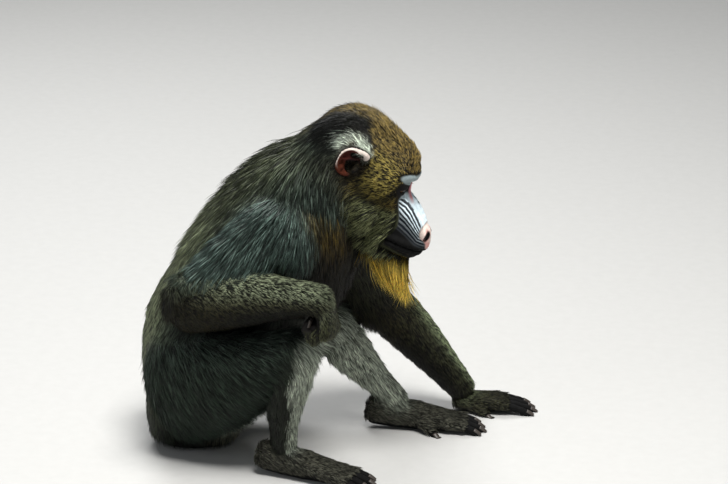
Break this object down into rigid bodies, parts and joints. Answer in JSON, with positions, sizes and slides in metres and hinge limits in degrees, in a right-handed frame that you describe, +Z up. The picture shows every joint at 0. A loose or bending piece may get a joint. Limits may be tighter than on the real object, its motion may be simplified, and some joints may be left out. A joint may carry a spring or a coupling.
{
  "type": "mandrill model",
  "caption": "Life-size still model of a female mandrill sitting hunched, one forearm on the raised knee and the other hand on the ground.",
  "frame": {"origin": "centre of the flat under the rump, on the floor", "axes": "+X is the way she faces, +Y her left, +Z up"},
  "size_m": [0.5155, 0.3998, 0.4899],
  "materials": {
    "coat": "short grizzled olive and slate hair, matte",
    "face_skin": "bare pale blue skin with dark grooves, slightly sheeny",
    "pink_skin": "bare pink skin, satin",
    "dark_skin": "bare black skin, satin",
    "eye": "wet gloss",
    "nail": "satin horn"
  },
  "bodies": {
    "root": {"pelvis": "coat", "abdomen": "coat", "chest": "coat", "neck": "coat", "tail": "coat", "head": "coat", "beard": "coat", "thigh_right": "coat", "thigh_left": "coat", "shin_right": "coat", "shin_left": "coat", "upper_arm_right": "coat", "upper_arm_left": "coat", "forearm_right": "coat", "forearm_left": "coat", "muzzle": "face_skin", "jaw": "face_skin", "ear_right": "pink_skin", "ear_left": "pink_skin", "rump_pad": "pink_skin", "hand_right": "dark_skin", "hand_left": "dark_skin", "foot_right": "dark_skin", "foot_left": "dark_skin", "eye_right": "eye", "eye_left": "eye"}
  },
  "joints": []
}
